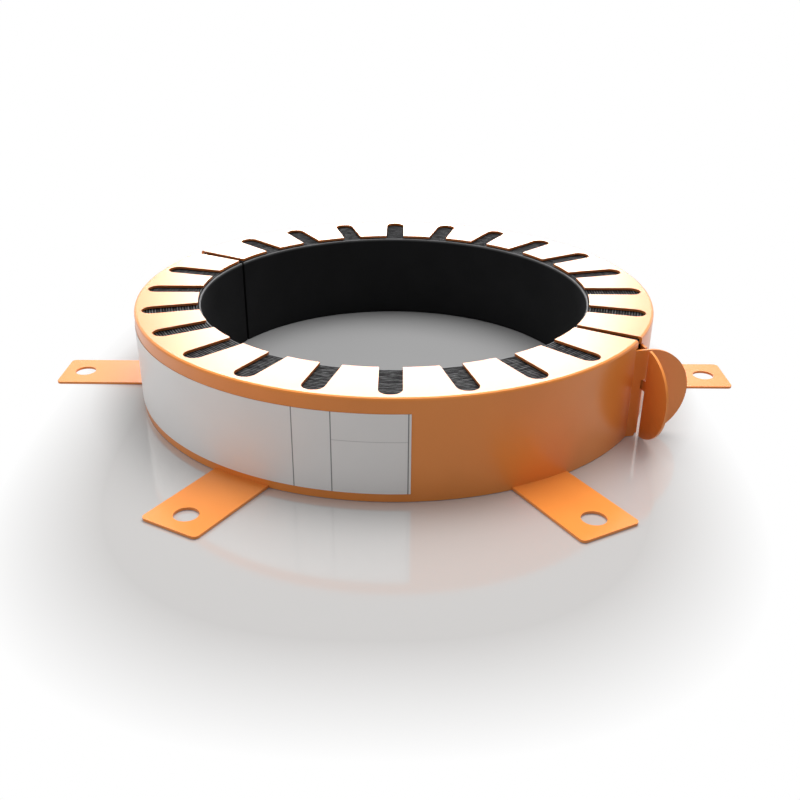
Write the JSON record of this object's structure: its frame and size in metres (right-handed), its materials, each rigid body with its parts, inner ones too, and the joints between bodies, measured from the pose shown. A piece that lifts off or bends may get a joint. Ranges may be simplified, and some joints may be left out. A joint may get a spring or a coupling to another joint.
{
  "type": "pipe fire collar",
  "caption": "Slotted sheet-steel collar in hooked half shells, lined with swelling mat and fixed round a plastic pipe to close its opening in a fire.",
  "frame": {"origin": "centre of the ring on the plane that the collar is fixed against", "axes": "+Z along the pipe, away from the fixing plane; +X through the middle of one side fixing tab; the label's side faces -Y"},
  "size_m": [0.296, 0.2672, 0.04],
  "materials": {
    "housing": "orange powder coat on folded sheet steel",
    "liner": "dark layered swelling mat",
    "label": "pale grey film with plain rule lines"
  },
  "bodies": {
    "root": {"housing_front": "housing", "housing_rear": "housing", "liner_front": "liner", "liner_rear": "liner", "label": "label"}
  },
  "joints": []
}
